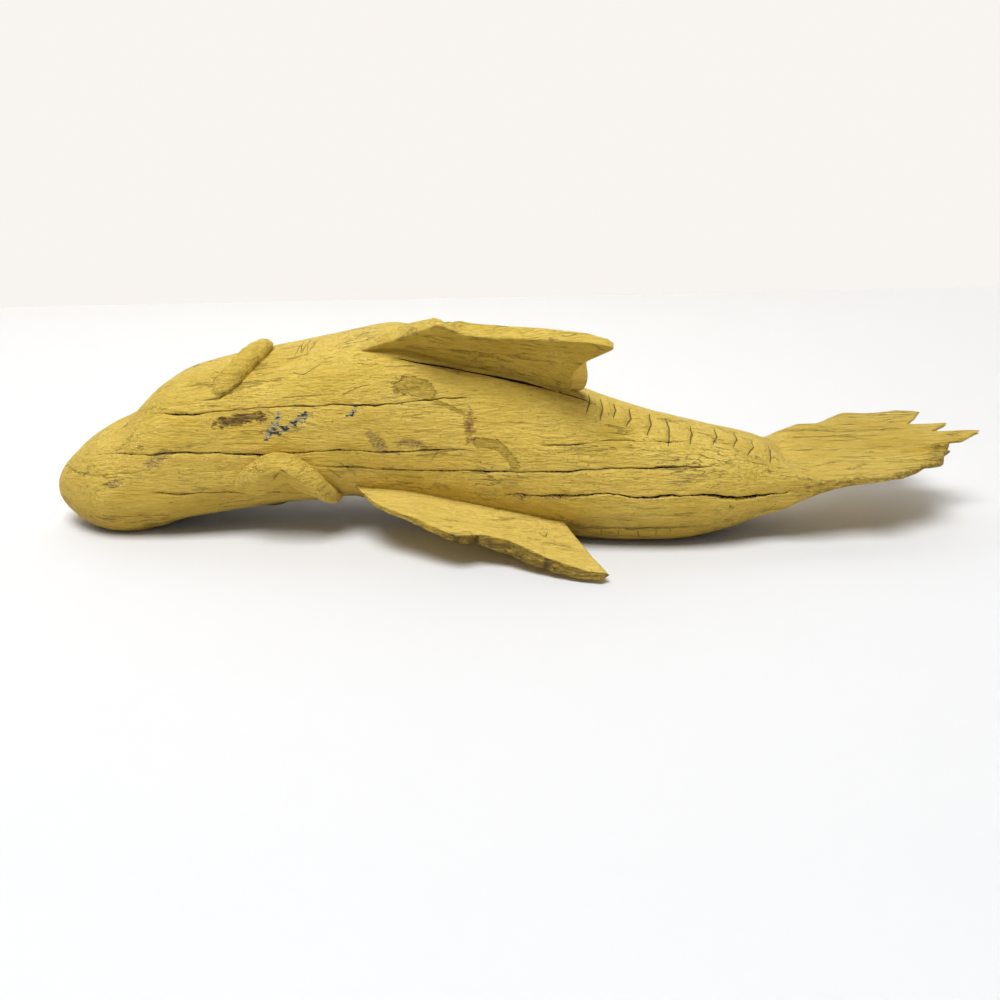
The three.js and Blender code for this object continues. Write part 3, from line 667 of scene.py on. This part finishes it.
def fin_blade(placed, inner, edge, root, thick, dish, dip, rear, torn, cuts, seed):
    """Rings of a fin, one across the board at each step along its chord. A ring is a nearly square
    oval between root and edge and between the two faces; the board thins to its edge, its inner face
    is dished, the root sinks away at the front and the front end dips back from the inner face. The
    rear end is hollowed, bevelled towards the outer face and rounded over its last few rings. Here c
    runs along the chord and s along the span."""
    hollow, bevel, rear_round = rear
    ends = np.linspace(0, 1, BLADE_ROWS)[:, None]
    along = ends + 0.012 * np.sin(2 * pi * ends)
    turn = np.interp(np.linspace(0, 1, BLADE_COLUMNS, endpoint=False), [0, 0.1, 0.45, 0.72, 0.95, 1],
                     [-3.3, -2.36, -0.785, 0.785, 2.36, 2 * pi - 3.3])[None]
    face, reach = oval(turn + pi / 2, BLADE_SQUARENESS)
    reach, face = -face, reach
    out = (1.02 * reach + 1) / 2
    edge_c = edge[0][0] + along * (edge[-1][0] - edge[0][0])
    edge_s = np.interp(edge_c, [p[0] for p in edge], [p[1] for p in edge])
    root_c = root[0] + along * (root[1] - root[0])
    c = root_c + out * (edge_c - root_c)
    root_s = root[2] - 9 * smooth(0.25, 0, along)
    s = root_s + out * (edge_s - root_s)
    c = c - hollow * np.sin(pi * np.clip((s - 2) / 52, 0, 1)) * along ** 8
    c = c + bevel * (0.5 - 0.5 * face) * np.sin(pi * np.clip((s + 9) / 44, 0, 1)) * along ** 10
    board = thick[0] + np.clip(out, 0, None) ** 1.5 * (np.interp(along, thick[1], thick[2]) - thick[0])
    board = board * (0.3 + 0.7 * smooth(0, 0.3, along))
    draw = np.sqrt(np.clip(1 - smooth(1 - rear_round, 1, along) ** 2, 0.02, 1))
    bowl = dish * np.sin(pi * np.clip(out * 1.12, 0, 1)) ** 0.8 * np.sin(pi * along) ** 0.6
    depth = board * (0.5 - 0.5 * face * draw) + bowl * (face + 1) / 2 + dip * smooth(0.34, 0, along)
    local = np.stack(np.broadcast_arrays(c, s, -inner * depth), -1)
    middle, axes = placed
    grid = middle + local @ axes
    wave = 0.3 * ripple(grid / (24, 9, 9), seed) + 0.1 * ripple(grid / (40, 1.8, 1.8), seed + 1)
    wave = wave + torn * smooth(0.95, 0.99, out) * ripple(grid / (6, 1.6, 1.6), seed + 2)
    deep, cut, wide = incised(local[..., 0], local[..., 1], cuts, 1.0)
    open_side = np.maximum(smooth(0.5, 0.9, face), smooth(0.97, 0.99, out))
    wave = wave + deep * open_side
    marks = {"cut": cut, "cut_wide": wide * open_side}
    grid = grid - outward(grid) * wave[..., None]
    return grid, marks, along + 0 * out, out + 0 * along, face + 0 * along


right_placed = fin_frame((-88, -7.5, 112), (28, -13.5, 87.5), radians(50))
right_edge = [(-80, -15), (-72, -8), (-64, -1.5), (-58, 4), (-50, 11.5), (-41, 20), (-30, 30.5),
              (-22, 38.5), (-19, 40), (-14, 38.5), (-6, 36), (8, 38), (24, 43), (44, 49), (59, 53),
              (70, 54.4), (74, 53.5), (76, 51)]
right_thick = (10.0, [0, 0.25, 0.36, 0.4, 0.46, 0.58, 0.69, 0.82, 0.92, 0.96, 1],
               [10, 10.5, 7, 3.5, 9, 10, 9, 8, 6.5, 5.5, 4])
RIGHT_CUTS = [([(-40, 8), (-25, 14), (2, 20), (20, 24)], 0.2, 0.16),
              ([(20, 26), (30, 24), (44, 27)], 0.3, 0.2)]
grid, marks, along, out, face = fin_blade(
    right_placed, inner=1, edge=right_edge, root=(-78, 58, -8), thick=right_thick, dish=2.6, dip=0.0,
    rear=(9.0, 9.0, 0.006), torn=0.2, cuts=RIGHT_CUTS, seed=41)
# painted light on the rounded rear end, painted shade on the scooped inner face
right_fin = skin("right_fin_blade", grid, {
    **marks, "edge": 0.2 * smooth(0.985, 1, out), "pale": 0.7 * smooth(0.993, 1, along),
    "grime_and_shade": 0.75 * smooth(0.6, 0.95, face) * smooth(1, 0.99, along)})

left_placed = fin_frame((-88, -22.5, 38), (30, -34.5, 16.5), radians(-9))
left_edge = [(-80, -15), (-72, -7), (-64, 4), (-54, 15.5), (-43, 22.7), (-10, 35.6), (-2, 37.8),
             (5, 34.6), (11, 31.3), (27, 31.3), (48, 40), (66, 44.3), (81, 45.9), (85, 42.7)]
left_thick = (10.0, [0, 0.4, 0.5, 0.62, 0.8, 0.95, 1], [3, 4, 6, 9.5, 9, 6, 2.5])
LEFT_CUTS = [([(14.5, -5), (18, -4.5), (18.5, -1.5), (15, 1.5)], 0.5, 0.35),
             ([(43.5, 16.5), (47.5, 18.5), (48, 13)], 0.5, 0.35),
             ([(-5, 36.5), (-2, 37.5), (1, 36.5)], 0.6, 0.9),
             ([(6, 33.5), (8, 32), (11, 31.5)], 1.6, 1.2),
             ([(47, 39.5), (50, 40.5), (54, 41.5)], 0.6, 0.6),
             ([(74, 44.8), (80, 44.5), (85, 42.5)], 0.7, 0.8)]
grid, marks, along, out, face = fin_blade(
    left_placed, inner=-1, edge=left_edge, root=(-78, 53, -8), thick=left_thick, dish=1.2, dip=6.0,
    rear=(0.0, 0.0, 0.015), torn=0.4, cuts=LEFT_CUTS, seed=51)
outer_strip = smooth(0.985, 0.995, out)
# painted light on the top face, grime and painted shade along the rough outer strip
left_fin = skin("left_fin_blade", grid, {
    **marks, "edge": 0.72 * outer_strip * smooth(0.3, 0.45, along),
    "pale": 0.35 * smooth(0.5, 0.9, face) * smooth(0.99, 0.97, out), "grime_and_shade": outer_strip})

for piece, node in ((right_fin, "right_fin"), (left_fin, "left_fin")):
    piece.data.materials.append(PAINT)
    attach(piece, "root")
    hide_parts(node)

# The brows: two small hoods carved from the same wood, each with a rounded free tip. They sit in
# shallow pockets on the head, are held by one peg each, and were painted with the log.
BROW_ROWS, BROW_COLUMNS = 96, 90


def brow_hood(path, half, crest, foot, flare, section, lean, seed):
    """Rings of a brow along a path on the head's skin (share of its length, station, angle). Each ring
    stands square to the path: a rounded or pointed section that leans to one side and flares where it
    runs into the head, with its half width, crest and foot drawn along the length. Here b runs across
    the path and h out from the head."""
    path = np.array(path, float)
    share = 0.5 - 0.5 * np.cos(np.linspace(0, pi, BROW_ROWS))
    x, angle = line(path[:, (0, 1)])(share), line(path[:, (0, 2)])(share)
    centre = body_point(x, angle)
    out = np.cross(body_point(x, angle + 0.02) - centre, body_point(x + 0.5, angle) - centre)
    out *= np.sign((out * (centre - body_point(x, angle + pi))).sum(-1, keepdims=True))
    out /= np.linalg.norm(out, axis=-1, keepdims=True)
    out = (out + out.mean(0)) / 2
    ahead = np.gradient(centre, axis=0)
    side = np.cross(out, ahead)
    side /= np.linalg.norm(side, axis=-1, keepdims=True)
    turn = np.linspace(0, 2 * pi, BROW_COLUMNS, endpoint=False)[None]
    across, up = oval(turn, section)
    lift = (up + 1) / 2
    base, peak = line(foot)(share)[:, None], line(crest)(share)[:, None]
    spread = 1 + flare * (1 - lift) ** 2 * (1 - smooth(0.6, 0.9, share[:, None]))
    b = across * line(half)(share)[:, None] * spread
    b = b + lean * lift ** 1.5 * (line(half)(share) * smooth(0.85, 0.45, share))[:, None]
    h = base + (peak - base) * lift
    grid = centre[:, None] + b[..., None] * side[:, None] + h[..., None] * out[:, None]
    uneven = 0.6 * ripple(grid / 8.0, seed) + 0.4 * ripple(grid / 3.5, seed + 2)
    return grid - outward(grid) * uneven[..., None]


right_hood = brow_hood(
    path=[(0, -180, 0.83), (0.2, -173, 0.86), (0.4, -167.5, 0.95), (0.65, -161, 1.14),
          (0.85, -155.5, 1.36), (1, -150, 1.62)],
    half=[(0, 0.8), (0.1, 4), (0.25, 6.2), (0.5, 6.4), (0.82, 7), (0.95, 5.8), (1, 2.5)],
    crest=[(0, -2), (0.1, 2), (0.25, 6.4), (0.5, 7.8), (0.85, 8.8), (0.96, 7.5), (1, 5)],
    foot=[(0, -4), (0.7, -4), (0.9, -2), (1, 2)], flare=0.4, section=2.0, lean=0.0, seed=61)
left_hood = brow_hood(
    path=[(0, -172, -0.66), (0.22, -158, -0.5), (0.42, -139, -0.3), (0.6, -127, -0.42),
          (0.8, -116.5, -0.62), (1, -107, -0.9)],
    half=[(0, 2), (0.15, 7), (0.36, 9.5), (0.55, 8.8), (0.8, 6.8), (0.93, 5), (1, 2)],
    crest=[(0, -3), (0.2, 2.5), (0.4, 11.5), (0.6, 10), (0.85, 7.8), (0.95, 6), (1, 3.5)],
    foot=[(0, -4), (0.6, -4), (0.85, -2), (1, 1)], flare=0.6, section=1.4, lean=0.4, seed=62)
LEFT_BROW_CUTS = [([(-137.3, 51), (-133.3, 48.2)], 0.6, 0.5),
                  ([(-137.6, 48.6), (-139.4, 46.4), (-142, 42.5)], 0.6, 0.4)]
RIGHT_BROW_CUTS = [([(-176, 103), (-171, 100)], 0.6, 0.4)]
for name, grid, node, cuts in (("right_brow_hood", right_hood, "right_brow", RIGHT_BROW_CUTS),
                               ("left_brow_hood", left_hood, "left_brow", LEFT_BROW_CUTS)):
    deep, cut, wide = incised(grid[..., 0], grid[..., 2], cuts, 1.0)
    piece = skin(name, grid - outward(grid) * deep[..., None], {"cut": cut, "cut_wide": wide})
    piece.data.materials.append(PAINT)
    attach(piece, "root")
    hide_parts(node)

# Dowels and pegs: plain round rods of bare wood, tapped into holes that run from the fin roots and the
# brows into the log. They are hidden once the fish is together.


def bare_wood():
    """Pale rod wood: long fine streaks and a dry, even sheen."""
    material, tree, shader, coords = new_material("bare_wood")
    streak = stretched(tree, coords, (420, 420, 60), 4.0, 7.0)
    tone = mixed(tree, banded(tree, streak, 0.35, 0.65), (0.44, 0.27, 0.11, 1), (0.6, 0.41, 0.2, 1))
    tree.links.new(tone, shader.inputs["Base Color"])
    tree.links.new(banded(tree, streak, 0.3, 0.7, 0.75, 0.9), shader.inputs["Roughness"])
    bump = link(tree, "ShaderNodeBump", Strength=0.3, Distance=0.0003, Height=streak)
    tree.links.new(bump.outputs[0], shader.inputs["Normal"])
    return material


BARE = bare_wood()
for name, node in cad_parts.items():
    if name.endswith(("_dowel", "_peg")):
        node.data.materials.clear()
        node.data.materials.append(BARE)

# The setting: a pale floor that keeps the shadow and fades to white further out, a plain backdrop, and
# two soft lamps, one overhead towards the viewer and a weaker one behind.
BLANK_BACK, BLANK_FLOOR = (0.945, 0.905, 0.865, 1), (0.975, 0.965, 0.955, 1)


def background_ray(tree):
    """1 for a ray that shows the background: straight from the camera, mirrored, or through glass."""
    ray = tree.nodes.new("ShaderNodeLightPath").outputs
    bent = product(tree, ray["Is Glossy Ray"], ray["Is Transmission Ray"], "MAXIMUM")
    return product(tree, ray["Is Camera Ray"], bent, "MAXIMUM")


def plain_sheet(name, corners, tone, shown_near, shown_far, blank):
    """A plain sheet of one tone for the light it throws back. Seen from the camera it is near white,
    and away from the fish it fades to a blank that takes no shade: from a first to a second distance,
    to a colour."""
    mesh = bpy.data.meshes.new(name)
    mesh.from_pydata(corners, [], [(0, 1, 2, 3)])
    material, tree, shader, coords = new_material(name)
    shader.inputs["Roughness"].default_value = 0.9
    shader.inputs["Specular IOR Level"].default_value = 0.1
    seen = background_ray(tree)
    depth = link(tree, "ShaderNodeSeparateXYZ", in0=coords).outputs["Y"]
    shown_as = mixed(tree, banded(tree, depth, -0.3, 0.56), shown_near, shown_far)
    tree.links.new(mixed(tree, seen, tone, shown_as), shader.inputs["Base Color"])
    away = link(tree, "ShaderNodeVectorMath", in0=coords)
    away.operation = "LENGTH"
    faded = product(tree, seen, banded(tree, away.outputs["Value"], *blank[:2]))
    plain = link(tree, "ShaderNodeEmission", Color=blank[2])
    both = link(tree, "ShaderNodeMixShader", in0=faded, in1=shader.outputs[0], in2=plain.outputs[0])
    tree.links.new(both.outputs[0], tree.nodes["Material Output"].inputs["Surface"])
    mesh.materials.append(material)
    sheet = bpy.data.objects.new(name, mesh)
    bpy.context.scene.collection.objects.link(sheet)


plain_sheet("floor", [(-4, -4, 0), (4, -4, 0), (4, 1.1, 0), (-4, 0.3, 0)], (0.72, 0.67, 0.57, 1),
            (0.755, 0.767, 0.79, 1), (0.9, 0.905, 0.91, 1), (0.45, 1.3, BLANK_FLOOR))
plain_sheet("backdrop", [(-4, 0.3, 0), (4, 1.1, 0), (4, 1.1, 4), (-4, 0.3, 4)], (0.9, 0.88, 0.85, 1),
            BLANK_BACK, BLANK_BACK, (0.0, 0.1, BLANK_BACK))


def soft_lamp(name, place, tilt, size, power):
    """A square lamp with its tilt in degrees."""
    lamp = bpy.data.lights.new(name, "AREA")
    lamp.shape, lamp.size, lamp.energy = "SQUARE", size, power
    holder = bpy.data.objects.new(name, lamp)
    holder.location, holder.rotation_euler = place, [radians(t) for t in tilt]
    bpy.context.scene.collection.objects.link(holder)


soft_lamp("overhead", (-0.3, -0.7, 2.1), (18.4, -8, 0), 1.1, 46.0)
soft_lamp("behind", (-0.3, 1.3, 2.0), (-33, -8, 0), 1.2, 5.0)
world = bpy.data.worlds.new("studio")
bpy.context.scene.world = world
world.use_nodes = True
tree = world.node_tree
light = tree.nodes["Background"]
light.inputs["Color"].default_value = (1.0, 0.99, 0.97, 1)
light.inputs["Strength"].default_value = 0.22
blank = link(tree, "ShaderNodeBackground", Color=BLANK_BACK, Strength=1.0)
seen = background_ray(tree)
both = link(tree, "ShaderNodeMixShader", in0=seen, in1=light.outputs[0], in2=blank.outputs[0])
tree.links.new(both.outputs[0], tree.nodes["World Output"].inputs["Surface"])

camera = bpy.data.cameras.new("camera")
camera.lens, camera.sensor_width = 37.8, 36.0
viewer = bpy.data.objects.new("camera", camera)
viewer.location = (np.array([-11.1, -597.3, 264.3]) + DRAWING) * MM
viewer.rotation_euler = (radians(67.5), 0, 0)
bpy.context.scene.collection.objects.link(viewer)
bpy.context.scene.camera = viewer
bpy.context.scene.view_settings.view_transform = "Standard"
